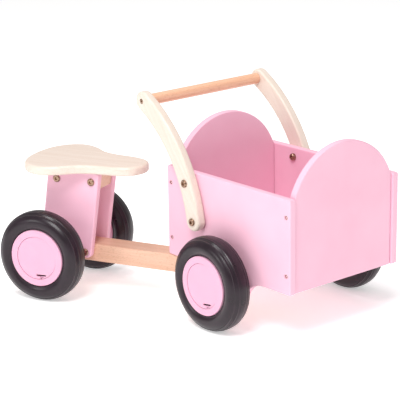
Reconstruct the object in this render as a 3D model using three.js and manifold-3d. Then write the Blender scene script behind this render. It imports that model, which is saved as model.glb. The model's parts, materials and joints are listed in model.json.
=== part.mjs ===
// A wooden four-wheeled ride-on cargo bike for a toddler, as an assembly of its separate pieces.
// Millimetres, +Z up, +X forwards along the beam, +Y to the rider's left.
// The chassis is a beam with a seat post and the rear wheels. The cargo box, with the handle and the
// front wheels, swings about one bolt near the beam's front end, and rests turned to the right.
import * as THREE from "three";
import { mergeVertices } from "three/addons/utils/BufferGeometryUtils.js";
import Module from "manifold-3d";

const wasm = await Module();
wasm.setup();

// ---- Driving dimensions ----
const GAP = 0.3; // left between pieces that touch
const CLEARANCE = 0.15; // round a shank in its hole
const STEER_REST = -24; // degrees, the box turned to the rider's right

const WHEEL = { radius: 75, halfWidth: 21, crown: 16.5, bead: 44, beadHalf: 12.8, segments: 32 };
const TYRE_WRAP = 130; // degrees from the tread's middle to where the round section meets the bead
const HUB = {
  face: 47.3,
  faceOut: 20,
  faceIn: -17.5,
  flange: 15.8,
  barrelHalf: 13.2,
  hollow: 40,
  recess: 36,
  web: 4,
  boss: 10,
  bossIn: -29.9,
  bossOut: 8,
  segments: 24,
};
const CAP = { play: 0.4, wall: 2.6 };
const CAP_SLOT = { length: 18.5, height: 2.8, depth: 3, along: -5.7, below: 29.2 };
const CAP_TURNS = { rear: -3, front: -9 }; // degrees that each pair's caps are turned
const AXLE = { radius: 4, bore: 4.15, z: WHEEL.radius, rearX: -442.5, frontX: -74.5, past: 13 };
const TRACK = { rear: 85, front: 147.7 }; // the tyre's middle plane from the centre line

const BEAM = { width: 40, height: 30, bottom: 52, rear: -470, ease: 1.5 };
const NOSE = { start: -14, tip: 65 }; // the beam's underside slopes up from here to its front end
const NUT_WELL = { radius: 12.5, roof: 68 }; // the hollow in the underside for the pivot bolt's nut
const PIVOT = { radius: 4, bore: 4.25, headRadius: 9, headHeight: 3.6, end: 58 };
const PIVOT_WASHER = { upper: 14, lower: 11, thickness: 1.7 };
const LOCK_NUT = { radius: 7.5, height: 6.5, collar: 5.8, collarEnd: 8 };

const BOARD = 12; // thickness of every painted panel
const BOX = { rear: -216.5, front: 67.5, half: 116, bottom: 82.5, top: 231.5, recess: 3.5, corner: 4 };
const ARCH = { radius: 111, top: 301 };
const LOBE = { radius: 45, fillet: 45 };
const FLOOR = { bottom: 84, thickness: 9 };
const AXLE_BLOCK = { halfLength: 24, inner: 78, bottom: 60, bore: 22, grip: 21 };

const ARM = { x: -380.2, z: 117.5, radius: 245.3, width: 31, thickness: 15.7, low: 9.1, high: 60.1 };
const ARM_BOLT_ANGLES = { lower: 9.1, upper: 23.5 };
const BAR = { radius: 9, pilot: 2.2, pilotDepth: 21 };
const BAR_SCREW = { shank: 2, head: 4, headHeight: 1.6, length: 30, well: 4.3, wellDepth: 2.2 };

const POST = { bottom: 60, top: 207.7, frontAtBottom: -382.2, lean: 8.4, length: 97.5 };
const SEAT = { bottom: 208, thickness: 14.5, ease: 3.5 };
const SEAT_HALF_OUTLINE = [
  [-500, 0],
  [-495, 40],
  [-474, 71],
  [-445, 81],
  [-416, 69],
  [-393, 50.5],
  [-362, 41.5],
  [-327, 38],
  [-301, 26],
  [-291, 0],
];
const SEAT_BLOCK = { bottom: 177, inset: 4 };
const SEAT_BOLTS = { x: [-441, -377], z: 191.5, length: 24 };
const BEAM_BOLT = { x: -392.6, z: 70, length: 28 };

const BOLT = { head: 6.2, headHeight: 2.8, shank: 3, socket: 2.3, socketDepth: 2 };
const CAP_NUT = { radius: 6, height: 5.2, depth: 2.2 };
const WASHER = { radius: 9, bore: 4.3, thickness: 1.5 };
const PUSH_NUT = { radius: 8, thickness: 2.4 };

const rad = THREE.MathUtils.degToRad;
const beamTop = BEAM.bottom + BEAM.height;
const postHalf = BEAM.width / 2 + GAP / 2 + BOARD;
const boxInner = BOX.half - BOARD;
const armFace = BOX.half + GAP + ARM.thickness;

// ---- Materials ----
const finish = (color, roughness, metalness = 0) =>
  new THREE.MeshStandardMaterial({ color, roughness, metalness });
const pinkPaint = () => finish(0xf3c3d8, 0.45);
const paleBirch = () => finish(0xf3e8dc, 0.5);
const beech = () => finish(0xeac2a9, 0.55);
const pinkPlastic = () => finish(0xf5c8e1, 0.35);
const blackRubber = () => finish(0x463c44, 0.6);
const zincSteel = () => finish(0xb8b8ba, 0.35, 1);
const darkSteel = () => finish(0x6e5040, 0.4, 1);

// ---- Solids ----
function toSolid(geometry) {
  const bare = geometry.index ? geometry.toNonIndexed() : geometry.clone();
  bare.deleteAttribute("normal");
  bare.deleteAttribute("uv");
  const merged = mergeVertices(bare, 1e-4);
  return new wasm.Manifold(
    new wasm.Mesh({
      numProp: 3,
      vertProperties: new Float32Array(merged.attributes.position.array),
      triVerts: new Uint32Array(merged.index.array),
    }),
  );
}

function toGeometry(solid) {
  const mesh = solid.getMesh();
  const geometry = new THREE.BufferGeometry();
  geometry.setAttribute("position", new THREE.BufferAttribute(mesh.vertProperties, 3));
  geometry.setIndex(new THREE.BufferAttribute(mesh.triVerts, 1));
  geometry.computeVertexNormals();
  return geometry;
}

function cut(geometry, ...tools) {
  return toGeometry(tools.reduce((solid, tool) => solid.subtract(toSolid(tool)), toSolid(geometry)));
}

function piece(name, geometry, material) {
  const mesh = new THREE.Mesh(geometry, material);
  mesh.name = name;
  return mesh;
}

// A plate with its edges eased by `ease`, from an outline in its own x and y, `thickness` thick along z.
function plate(shape, thickness, ease, curveSegments = 12, easeSteps = 1) {
  return new THREE.ExtrudeGeometry(shape, {
    depth: thickness - 2 * ease,
    bevelEnabled: true,
    bevelThickness: ease,
    bevelSize: ease,
    bevelOffset: -ease,
    bevelSegments: easeSteps,
    steps: 1,
    curveSegments,
  }).translate(0, 0, ease);
}

// The outline's x, y become the world's x, z, and the plate grows from y = `from` towards +y.
function standLengthways(geometry, from, thickness) {
  return geometry.rotateX(Math.PI / 2).translate(0, from + thickness, 0);
}

// The outline's x, y become the world's y, z, and the plate grows from x = `from` towards +x.
function standCrossways(geometry, from) {
  const turn = new THREE.Matrix4().makeBasis(
    new THREE.Vector3(0, 1, 0),
    new THREE.Vector3(0, 0, 1),
    new THREE.Vector3(1, 0, 0),
  );
  return geometry.applyMatrix4(turn).translate(from, 0, 0);
}

function rodY(radius, from, to, segments = 20) {
  const rod = new THREE.CylinderGeometry(radius, radius, to - from, segments);
  return rod.translate(0, (from + to) / 2, 0);
}

function rodZ(radius, from, to, segments = 20) {
  return rodY(radius, from, to, segments).rotateX(Math.PI / 2);
}

function ringY(inner, outer, from, to, segments = 16) {
  const profile = [
    [inner, from],
    [outer, from],
    [outer, to],
    [inner, to],
    [inner, from],
  ];
  return lathe(profile, segments);
}

function lathe(profile, segments) {
  return new THREE.LatheGeometry(profile.map(([r, y]) => new THREE.Vector2(r, y)), segments);
}

// Side -1 is the rider's right, +1 the left. A piece is made for the left, pointing to +y, and turned
// round for the right.
function facing(side, geometry) {
  return side < 0 ? geometry.rotateZ(Math.PI) : geometry;
}

const SIDES = [
  { side: -1, word: "right" },
  { side: 1, word: "left" },
];

// ---- Fasteners ----
// A socket button-head bolt along y, its head's underside at y = 0 and its shank `length` long towards -y.
function buttonBolt(length) {
  const { head, headHeight, shank, socket, socketDepth } = BOLT;
  const profile = [
    [0, -length],
    [shank, -length],
    [shank, 0],
    [head, 0],
    [head * 0.94, headHeight * 0.55],
    [head * 0.66, headHeight],
    [0, headHeight],
  ];
  const hexagon = rodY(socket, headHeight - socketDepth, headHeight + 1, 6);
  return cut(lathe(profile, 12), hexagon);
}

function placeBolt(name, side, x, face, z, length) {
  const bolt = piece(name, facing(side, buttonBolt(length)), darkSteel());
  bolt.position.set(x, side * (face + GAP / 2), z);
  return bolt;
}

function boltHole(x, from, to, z, radius = BOLT.shank + CLEARANCE) {
  return rodY(radius, from, to, 12).translate(x, 0, z);
}

// ---- Wheels ----
function tyreGeometry() {
  const { radius, halfWidth, crown, bead, beadHalf, segments } = WHEEL;
  const profile = [[bead, -beadHalf]];
  const steps = 8;
  for (let i = 0; i <= steps; i++) {
    const angle = rad(TYRE_WRAP * ((2 * i) / steps - 1));
    profile.push([radius - crown + crown * Math.cos(angle), halfWidth * Math.sin(angle)]);
  }
  profile.push([bead, beadHalf], [bead, -beadHalf]);
  return lathe(profile, segments);
}

function hubGeometry() {
  const { face, faceOut, faceIn, flange, barrelHalf, hollow, recess, web, boss, bossIn, bossOut } = HUB;
  const barrel = WHEEL.bead - GAP;
  const profile = [
    [AXLE.bore, bossIn],
    [boss, bossIn],
    [boss, -web],
    [hollow, -web],
    [hollow, faceIn],
    [face, faceIn],
    [face, -flange],
    [barrel, -barrelHalf],
    [barrel, barrelHalf],
    [face, flange],
    [face, faceOut],
    [recess, faceOut],
    [recess, web],
    [boss, web],
    [boss, bossOut],
    [AXLE.bore, bossOut],
    [AXLE.bore, bossIn],
  ];
  return lathe(profile, HUB.segments);
}

// The cap snaps into the hub's recess and hides the axle's end. It has one slot to pry it out by.
function hubCapGeometry() {
  const rim = HUB.recess - CAP.play;
  const skirt = rim - CAP.wall;
  const back = HUB.faceOut - CAP.wall;
  const profile = [
    [0, back],
    [skirt, back],
    [skirt, HUB.web + GAP],
    [rim, HUB.web + GAP],
    [rim, HUB.faceOut],
    [0, HUB.faceOut],
  ];
  const slot = new THREE.BoxGeometry(CAP_SLOT.length, 2 * CAP_SLOT.depth, CAP_SLOT.height);
  slot.translate(CAP_SLOT.along, HUB.faceOut, -CAP_SLOT.below);
  return cut(lathe(profile, HUB.segments), slot);
}

function wheel(end, side, word) {
  const name = `${end}_${word}`;
  const cap = piece(name + "_hub_cap", facing(side, hubCapGeometry()), pinkPlastic());
  cap.rotation.y = rad(CAP_TURNS[end]);
  const group = new THREE.Group();
  group.add(
    piece(name + "_tyre", facing(side, tyreGeometry()), blackRubber()),
    piece(name + "_hub", facing(side, hubGeometry()), pinkPlastic()),
    cap,
  );
  return group;
}

function pushNut(name, side, y, x) {
  const ring = ringY(AXLE.bore, PUSH_NUT.radius, 0, PUSH_NUT.thickness);
  const nut = piece(name, facing(side, ring), zincSteel());
  nut.position.set(x, side * y, AXLE.z);
  return nut;
}

function washer(name, side, y, x) {
  const ring = ringY(WASHER.bore, WASHER.radius, 0, WASHER.thickness);
  const mesh = piece(name, facing(side, ring), zincSteel());
  mesh.position.set(x, side * y, AXLE.z);
  return mesh;
}

// ---- Chassis ----
function beam() {
  const half = BEAM.width / 2;
  const plan = new THREE.Shape();
  plan.moveTo(BEAM.rear, -half);
  plan.lineTo(0, -half);
  plan.absarc(0, 0, half, -Math.PI / 2, Math.PI / 2, false);
  plan.lineTo(BEAM.rear, half);
  plan.closePath();
  const timber = plate(plan, BEAM.height, BEAM.ease, 7).translate(0, 0, BEAM.bottom);
  const boltDepth = BEAM_BOLT.length - BOARD + 0.5;
  const rise = Math.atan2(NOSE.tip - BEAM.bottom, half - NOSE.start);
  const underNose = new THREE.BoxGeometry(60, BEAM.width + 2, 20).translate(30, 0, -10).rotateY(-rise);
  return cut(
    timber,
    underNose.translate(NOSE.start, 0, BEAM.bottom),
    rodZ(NUT_WELL.radius, BEAM.bottom - 1, NUT_WELL.roof),
    rodZ(PIVOT.bore, BEAM.bottom - 1, beamTop + 1),
    rodY(AXLE.bore, -half - 1, half + 1).translate(AXLE.rearX, 0, AXLE.z),
    boltHole(BEAM_BOLT.x, -half - 1, -half + boltDepth, BEAM_BOLT.z),
    boltHole(BEAM_BOLT.x, half - boltDepth, half + 1, BEAM_BOLT.z),
  );
}

const postSlope = Math.tan(rad(POST.lean));
const postFrontAt = (z) => POST.frontAtBottom + (z - POST.bottom) * postSlope;

// A leaning four-sided outline in x and z, its corners rounded by `round`.
function leaningOutline(low, high, frontInset, round) {
  const corners = [
    [postFrontAt(low) - frontInset, low],
    [postFrontAt(high) - frontInset, high],
    [postFrontAt(high) - POST.length + frontInset, high],
    [postFrontAt(low) - POST.length + frontInset, low],
  ].map(([x, z]) => new THREE.Vector2(x, z));
  const shape = new THREE.Shape();
  corners.forEach((corner, i) => {
    const before = corners[(i + 3) % 4];
    const after = corners[(i + 1) % 4];
    const start = corner.clone().add(before.clone().sub(corner).setLength(round));
    const end = corner.clone().add(after.clone().sub(corner).setLength(round));
    if (i === 0) shape.moveTo(start.x, start.y);
    else shape.lineTo(start.x, start.y);
    if (round > 0) shape.quadraticCurveTo(corner.x, corner.y, end.x, end.y);
  });
  shape.closePath();
  return shape;
}

function seatPanel(side) {
  const inner = BEAM.width / 2 + GAP / 2;
  const from = side < 0 ? -inner - BOARD : inner;
  const outline = leaningOutline(POST.bottom, POST.top, 0, 7);
  const panel = standLengthways(plate(outline, BOARD, BEAM.ease, 2), from, BOARD);
  const holes = SEAT_BOLTS.x.map((x) => boltHole(x, from - 1, from + BOARD + 1, SEAT_BOLTS.z));
  return cut(
    panel,
    ...holes,
    boltHole(BEAM_BOLT.x, from - 1, from + BOARD + 1, BEAM_BOLT.z),
    boltHole(AXLE.rearX, from - 1, from + BOARD + 1, AXLE.z, AXLE.bore),
  );
}

function seatBlock() {
  const width = BEAM.width - GAP;
  const outline = leaningOutline(SEAT_BLOCK.bottom, POST.top, SEAT_BLOCK.inset, 0);
  const block = standLengthways(plate(outline, width, 1, 1), -width / 2, width);
  const depth = SEAT_BOLTS.length - BOARD + 1.5;
  const holes = SEAT_BOLTS.x.flatMap((x) => [
    boltHole(x, -width / 2 - 1, -width / 2 + depth, SEAT_BOLTS.z),
    boltHole(x, width / 2 - depth, width / 2 + 1, SEAT_BOLTS.z),
  ]);
  return cut(block, ...holes);
}

// A saddle seen from above: a broad round back, a waist, and a narrow round nose.
function seatBoard() {
  const otherHalf = SEAT_HALF_OUTLINE.slice(1, -1).reverse();
  const outline = [...SEAT_HALF_OUTLINE, ...otherHalf.map(([x, y]) => [x, -y])];
  const curve = new THREE.CatmullRomCurve3(
    outline.map(([x, y]) => new THREE.Vector3(x, y, 0)),
    true,
    "centripetal",
  );
  const points = curve.getPoints(40).slice(0, -1).reverse();
  const shape = new THREE.Shape(points.map((p) => new THREE.Vector2(p.x, p.y)));
  return plate(shape, SEAT.thickness, SEAT.ease, 1, 2).translate(0, 0, SEAT.bottom);
}

// The rear axle's spacers, washers and push nuts on one side, and the wheel they hold.
function rearWheelSet(side, word) {
  const bossEnd = TRACK.rear + HUB.bossIn;
  const washerFrom = bossEnd - WASHER.thickness - GAP / 2;
  const ring = ringY(AXLE.bore, WASHER.radius, postHalf + GAP / 2, washerFrom - GAP / 2, 20);
  const spacer = piece("rear_spacer_" + word, facing(side, ring), pinkPlastic());
  spacer.position.set(AXLE.rearX, 0, AXLE.z);
  const rolling = wheel("rear", side, word);
  rolling.position.set(AXLE.rearX, side * TRACK.rear, AXLE.z);
  return [
    spacer,
    washer("rear_washer_" + word, side, washerFrom, AXLE.rearX),
    pushNut("rear_push_nut_" + word, side, TRACK.rear + HUB.bossOut + GAP, AXLE.rearX),
    rolling,
  ];
}

// A flat ring round the pivot bolt, its underside at z.
function pivotWasher(name, radius, z) {
  const ring = ringY(PIVOT.bore, radius, 0, PIVOT_WASHER.thickness, 20).rotateX(Math.PI / 2);
  const mesh = piece(name, ring, zincSteel());
  mesh.position.z = z;
  return mesh;
}

function chassis() {
  const group = new THREE.Group();
  const axleEnd = TRACK.rear + AXLE.past;
  const axle = piece("rear_axle", rodY(AXLE.radius, -axleEnd, axleEnd), zincSteel());
  axle.position.set(AXLE.rearX, 0, AXLE.z);
  group.add(
    piece("beam", beam(), beech()),
    piece("seat_block", seatBlock(), beech()),
    piece("seat_board", seatBoard(), paleBirch()),
    axle,
    pivotWasher("pivot_washer_upper", PIVOT_WASHER.upper, beamTop + GAP / 2),
    pivotWasher("pivot_washer_lower", PIVOT_WASHER.lower, NUT_WELL.roof - GAP / 2 - PIVOT_WASHER.thickness),
  );
  for (const { side, word } of SIDES) {
    const [rearX, frontX] = SEAT_BOLTS.x;
    const { z, length } = SEAT_BOLTS;
    group.add(
      piece("seat_panel_" + word, seatPanel(side), pinkPaint()),
      placeBolt("seat_bolt_rear_" + word, side, rearX, postHalf, z, length),
      placeBolt("seat_bolt_front_" + word, side, frontX, postHalf, z, length),
      placeBolt("beam_bolt_" + word, side, BEAM_BOLT.x, postHalf, BEAM_BOLT.z, BEAM_BOLT.length),
      ...rearWheelSet(side, word),
    );
  }
  return group;
}

// ---- Cargo box ----
// A straight-topped side with a round lobe hanging from its lower edge, round the front axle.
function sidePanelGeometry(side) {
  const { radius, fillet } = LOBE;
  const { corner } = BOX;
  const drop = BOX.bottom - fillet - AXLE.z;
  const reach = Math.sqrt((radius + fillet) ** 2 - drop ** 2);
  const bend = Math.atan2(-drop, reach);
  const shape = new THREE.Shape();
  shape.moveTo(BOX.rear + corner, BOX.top);
  shape.quadraticCurveTo(BOX.rear, BOX.top, BOX.rear, BOX.top - corner);
  shape.lineTo(BOX.rear, BOX.bottom + corner);
  shape.quadraticCurveTo(BOX.rear, BOX.bottom, BOX.rear + corner, BOX.bottom);
  shape.lineTo(AXLE.frontX - reach, BOX.bottom);
  shape.absarc(AXLE.frontX - reach, BOX.bottom - fillet, fillet, Math.PI / 2, bend, true);
  shape.absarc(AXLE.frontX, AXLE.z, radius, Math.PI + bend, 2 * Math.PI - bend, false);
  shape.absarc(AXLE.frontX + reach, BOX.bottom - fillet, fillet, Math.PI - bend, Math.PI / 2, true);
  shape.lineTo(BOX.front - corner, BOX.bottom);
  shape.quadraticCurveTo(BOX.front, BOX.bottom, BOX.front, BOX.bottom + corner);
  shape.lineTo(BOX.front, BOX.top - corner);
  shape.quadraticCurveTo(BOX.front, BOX.top, BOX.front - corner, BOX.top);
  shape.closePath();
  const from = side < 0 ? -BOX.half : boxInner;
  const panel = standLengthways(plate(shape, BOARD, 2, 5), from, BOARD);
  const holes = Object.values(ARM_BOLT_ANGLES).map((angle) => {
    const [x, z] = armPoint(angle);
    return boltHole(x, from - 1, from + BOARD + 1, z);
  });
  return cut(
    panel,
    ...holes,
    boltHole(AXLE.frontX, from - 1, from + BOARD + 1, AXLE.z, AXLE.bore),
  );
}

function endPanelGeometry(from) {
  const half = boxInner - GAP;
  const centre = ARCH.top - ARCH.radius;
  const spring = centre + Math.sqrt(ARCH.radius ** 2 - half ** 2);
  const start = Math.atan2(spring - centre, half);
  const shape = new THREE.Shape();
  shape.moveTo(-half, BOX.bottom);
  shape.lineTo(half, BOX.bottom);
  shape.lineTo(half, spring);
  shape.absarc(0, centre, ARCH.radius, start, Math.PI - start, false);
  shape.closePath();
  return standCrossways(plate(shape, BOARD, 2, 14), from);
}

const armPoint = (angle) => [
  ARM.x + ARM.radius * Math.cos(rad(angle)),
  ARM.z + ARM.radius * Math.sin(rad(angle)),
];

// A strip bent along an arc, with round ends about its lowest bolt and about the bar.
function armGeometry(side) {
  const half = ARM.width / 2;
  const low = rad(ARM.low);
  const high = rad(ARM.high);
  const [lowX, lowZ] = armPoint(ARM.low);
  const [highX, highZ] = armPoint(ARM.high);
  const shape = new THREE.Shape();
  shape.absarc(ARM.x, ARM.z, ARM.radius + half, low, high, false);
  shape.absarc(highX, highZ, half, high, high + Math.PI, false);
  shape.absarc(ARM.x, ARM.z, ARM.radius - half, high, low, true);
  shape.absarc(lowX, lowZ, half, low + Math.PI, low + 2 * Math.PI, false);
  const from = side < 0 ? -BOX.half - GAP - ARM.thickness : BOX.half + GAP;
  const arm = standLengthways(plate(shape, ARM.thickness, 3, 7), from, ARM.thickness);
  const holes = Object.values(ARM_BOLT_ANGLES).map((angle) => {
    const [x, z] = armPoint(angle);
    return boltHole(x, from - 1, from + ARM.thickness + 1, z);
  });
  const screwHole = boltHole(highX, from - 1, from + ARM.thickness + 1, highZ, BAR.pilot);
  const { well, wellDepth } = BAR_SCREW;
  const wellFrom = side < 0 ? from - 1 : from + ARM.thickness - wellDepth;
  const screwWell = boltHole(highX, wellFrom, wellFrom + wellDepth + 1, highZ, well);
  return cut(arm, ...holes, screwHole, screwWell);
}

function handlebarGeometry() {
  const [x, z] = armPoint(ARM.high);
  const half = BOX.half;
  const bar = rodY(BAR.radius, -half, half, 28);
  const pilots = SIDES.map(({ side }) => {
    const from = side < 0 ? -half - 1 : half - BAR.pilotDepth;
    return rodY(BAR.pilot, from, from + BAR.pilotDepth + 1, 10);
  });
  return cut(bar, ...pilots).translate(x, 0, z);
}

// A small round-headed wood screw along y, its head's underside at y = 0.
function screwGeometry() {
  const { shank, head, headHeight, length } = BAR_SCREW;
  const profile = [
    [0, -length],
    [shank, -length],
    [shank, 0],
    [head, 0],
    [head * 0.8, headHeight * 0.8],
    [0, headHeight],
  ];
  return lathe(profile, 12);
}

function floorGeometry() {
  const rear = BOX.rear + BOX.recess + BOARD + GAP;
  const front = BOX.front - BOX.recess - BOARD - GAP;
  const half = boxInner - GAP;
  const board = new THREE.BoxGeometry(front - rear, 2 * half, FLOOR.thickness);
  board.translate((front + rear) / 2, 0, FLOOR.bottom + FLOOR.thickness / 2);
  return cut(board, rodZ(PIVOT.bore, FLOOR.bottom - 1, FLOOR.bottom + FLOOR.thickness + 1));
}

function axleBlockGeometry(side) {
  const height = FLOOR.bottom - GAP - AXLE_BLOCK.bottom;
  const outer = boxInner - GAP;
  const width = outer - AXLE_BLOCK.inner;
  const block = new THREE.BoxGeometry(2 * AXLE_BLOCK.halfLength, width, height);
  block.translate(AXLE.frontX, side * (outer - width / 2), AXLE_BLOCK.bottom + height / 2);
  const from = side < 0 ? -outer - 1 : outer - AXLE_BLOCK.bore;
  return cut(block, boltHole(AXLE.frontX, from, from + AXLE_BLOCK.bore + 1, AXLE.z, AXLE.bore));
}

function pivotBoltGeometry() {
  const top = FLOOR.bottom + FLOOR.thickness + GAP;
  const profile = [
    [0, PIVOT.end],
    [PIVOT.radius, PIVOT.end],
    [PIVOT.radius, top],
    [PIVOT.headRadius, top],
    [PIVOT.headRadius * 0.9, top + PIVOT.headHeight * 0.5],
    [PIVOT.headRadius * 0.55, top + PIVOT.headHeight * 0.9],
    [0, top + PIVOT.headHeight],
  ];
  return lathe(profile, 20).rotateX(Math.PI / 2);
}

// A lock nut: a hexagon with a round collar, bored for the pivot bolt, from z = 0 downwards.
function lockNutGeometry() {
  const { radius, height, collar, collarEnd } = LOCK_NUT;
  const hexagon = toSolid(rodZ(radius, -height, 0, 6));
  const round = toSolid(rodZ(collar, -collarEnd, 0.5 - height, 16));
  return toGeometry(hexagon.add(round).subtract(toSolid(rodZ(PIVOT.bore, -collarEnd - 1, 1))));
}

// A domed nut on an arm bolt's end, inside the box, pointing to -y from y = 0.
function capNutGeometry() {
  const { radius, height, depth } = CAP_NUT;
  const bore = BOLT.shank + CLEARANCE;
  const profile = [
    [0, -height],
    [radius * 0.7, -height * 0.88],
    [radius, -height * 0.4],
    [radius, 0],
    [bore, 0],
    [bore, -depth],
    [0, -depth],
  ];
  return lathe(profile, 12);
}

// One handle arm with its bar screw, and the bolts and nuts that hold it to the side panel.
function handleArmSet(side, word) {
  const [barX, barZ] = armPoint(ARM.high);
  const screw = piece("bar_screw_" + word, facing(side, screwGeometry()), darkSteel());
  screw.position.set(barX, side * (armFace - BAR_SCREW.wellDepth + GAP), barZ);
  const boltLength = ARM.thickness + BOARD + CAP_NUT.depth + GAP / 2;
  const fasteners = Object.entries(ARM_BOLT_ANGLES).flatMap(([place, angle]) => {
    const [x, z] = armPoint(angle);
    const nut = piece(`arm_nut_${place}_${word}`, facing(side, capNutGeometry()), darkSteel());
    nut.position.set(x, side * (boxInner - GAP / 2), z);
    return [placeBolt(`arm_bolt_${place}_${word}`, side, x, armFace, z, boltLength), nut];
  });
  return [piece("handle_arm_" + word, armGeometry(side), paleBirch()), screw, ...fasteners];
}

// The stub axle on one side in its block, and the wheel, washer and push nut on it.
function frontWheelSet(side, word) {
  const stub = rodY(AXLE.radius, boxInner - AXLE_BLOCK.grip, TRACK.front + AXLE.past);
  const axle = piece("front_axle_" + word, facing(side, stub), zincSteel());
  axle.position.set(AXLE.frontX, 0, AXLE.z);
  const rolling = wheel("front", side, word);
  rolling.position.set(AXLE.frontX, side * TRACK.front, AXLE.z);
  return [
    piece("axle_block_" + word, axleBlockGeometry(side), beech()),
    axle,
    washer("front_washer_" + word, side, BOX.half + GAP / 2, AXLE.frontX),
    pushNut("front_push_nut_" + word, side, TRACK.front + HUB.bossOut + GAP, AXLE.frontX),
    rolling,
  ];
}

function cargoBox() {
  const group = new THREE.Group();
  const nut = piece("pivot_nut", lockNutGeometry(), zincSteel());
  nut.position.z = NUT_WELL.roof - PIVOT_WASHER.thickness - 1.5 * GAP;
  group.add(
    piece("front_panel", endPanelGeometry(BOX.front - BOX.recess - BOARD), pinkPaint()),
    piece("rear_panel", endPanelGeometry(BOX.rear + BOX.recess), pinkPaint()),
    piece("floor_panel", floorGeometry(), pinkPaint()),
    piece("handlebar", handlebarGeometry(), beech()),
    piece("pivot_bolt", pivotBoltGeometry(), zincSteel()),
    nut,
  );
  for (const { side, word } of SIDES) {
    group.add(
      piece("side_panel_" + word, sidePanelGeometry(side), pinkPaint()),
      ...handleArmSet(side, word),
      ...frontWheelSet(side, word),
    );
  }
  group.rotation.z = rad(STEER_REST);
  return group;
}

// The origin is the middle of the standing bike's footprint, on the floor.
const bike = new THREE.Group();
bike.add(chassis(), cargoBox());
const extent = new THREE.Box3().setFromObject(bike, true);
const middle = extent.getCenter(new THREE.Vector3());
bike.position.set(-middle.x, -middle.y, -extent.min.z);

const part = new THREE.Group();
part.add(bike);
export default part;
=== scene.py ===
# %% [markdown]
# # A wooden ride-on cargo bike for a toddler
#
# The bike is two halves that swing about one bolt: a chassis (beam, seat post, saddle and rear wheels) and
# a steered half (cargo box, handle and front wheels). That model is right in size and place, and this
# script gives it its looks: rounded boards, moulded wheels, bolts with sockets, paint, wood, rubber and
# plastic.

# %% Load the working model
import json
import math
import bmesh
import bpy
from mathutils import Matrix, Vector


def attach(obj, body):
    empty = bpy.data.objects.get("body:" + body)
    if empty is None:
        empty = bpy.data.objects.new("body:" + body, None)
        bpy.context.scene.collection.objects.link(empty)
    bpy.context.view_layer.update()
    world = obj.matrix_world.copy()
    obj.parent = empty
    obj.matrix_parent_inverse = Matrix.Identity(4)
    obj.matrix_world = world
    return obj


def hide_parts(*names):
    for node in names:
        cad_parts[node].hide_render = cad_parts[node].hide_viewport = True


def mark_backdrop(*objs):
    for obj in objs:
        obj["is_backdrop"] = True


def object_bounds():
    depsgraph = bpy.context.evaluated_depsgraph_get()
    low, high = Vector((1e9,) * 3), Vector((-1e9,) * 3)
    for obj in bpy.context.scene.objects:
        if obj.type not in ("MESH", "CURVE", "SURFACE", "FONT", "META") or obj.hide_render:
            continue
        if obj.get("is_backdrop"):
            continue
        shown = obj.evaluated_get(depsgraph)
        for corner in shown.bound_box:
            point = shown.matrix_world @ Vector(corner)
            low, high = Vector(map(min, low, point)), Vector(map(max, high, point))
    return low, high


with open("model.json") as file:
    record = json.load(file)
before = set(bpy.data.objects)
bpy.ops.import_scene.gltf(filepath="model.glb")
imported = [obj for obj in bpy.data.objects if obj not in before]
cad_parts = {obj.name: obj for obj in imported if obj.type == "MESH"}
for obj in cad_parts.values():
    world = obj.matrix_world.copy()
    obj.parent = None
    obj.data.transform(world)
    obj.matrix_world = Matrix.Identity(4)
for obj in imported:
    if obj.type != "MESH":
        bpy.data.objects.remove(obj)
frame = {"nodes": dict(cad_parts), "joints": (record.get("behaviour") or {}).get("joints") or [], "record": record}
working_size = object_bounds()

# %% [markdown]
# ## Two frames to work in
#
# The box stands steered 24 degrees to the rider's right, so its boards are square to nothing in the scene.
# It could be drawn where it stands, with every number turned by that angle, but a maker builds the box on
# the bench and turns it afterwards, and this script does the same. Each half has a frame whose origin is on
# the floor under the pivot bolt, with x forwards and y to the rider's left. Both are read from the joints,
# and everything is drawn in millimetres and made metres when it is placed.

# %% The chassis frame and the box frame
joints = {joint["name"]: joint for joint in frame["joints"]}
pivot_x, pivot_y, _ = joints["steer"]["pos_m"]
across_x, across_y, _ = joints["front_left_roll"]["axis"]
steering = math.atan2(-across_x, across_y)
MM = Matrix.Scale(0.001, 4)
CHASSIS = Matrix.Translation((pivot_x, pivot_y, 0)) @ MM
BOX = Matrix.Translation((pivot_x, pivot_y, 0)) @ Matrix.Rotation(steering, 4, "Z") @ MM
print(f"the box stands turned by {math.degrees(steering):.1f} degrees")

# %% Measuring a piece in its own half's frame
def span(node, place):
    """The lowest and highest corner of one working piece, in millimetres in that frame."""
    into = place.inverted()
    points = [into @ vertex.co for vertex in frame["nodes"][node].data.vertices]
    return tuple(Vector(pick(p[i] for p in points) for i in range(3)) for pick in (min, max))

side_low, side_high = span("side_panel_left", BOX)
print(f"the sides are {side_high.x - side_low.x:.0f} x {side_high.y - side_low.y:.1f} mm boards")

# %% [markdown]
# ## The camera
#
# A wide lens close by would make the near wheel much larger than the far one. This is a long lens from a
# little over two and a half metres, level with a standing adult's waist and to the right of the bike's
# front, so the bike keeps its proportions. It aims at a point near the middle of the bike.

# %% A long lens on the rider's right
VIEW = {"azimuth": 25.66, "elevation": 16.42, "roll": -0.91}  # degrees
DISTANCE = 2526.5  # millimetres back from the point it aims at
AIM = (-172.3, -50.0, 189.4)  # millimetres from the floor under the pivot
LENS, SENSOR = 145.4, 36  # millimetres
FARTHEST = 50  # metres, well beyond the floor's edge
scene = bpy.context.scene

def in_scene(name, data):
    """A new object in the scene, at the origin."""
    made = bpy.data.objects.new(name, data)
    scene.collection.objects.link(made)
    return made

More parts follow.
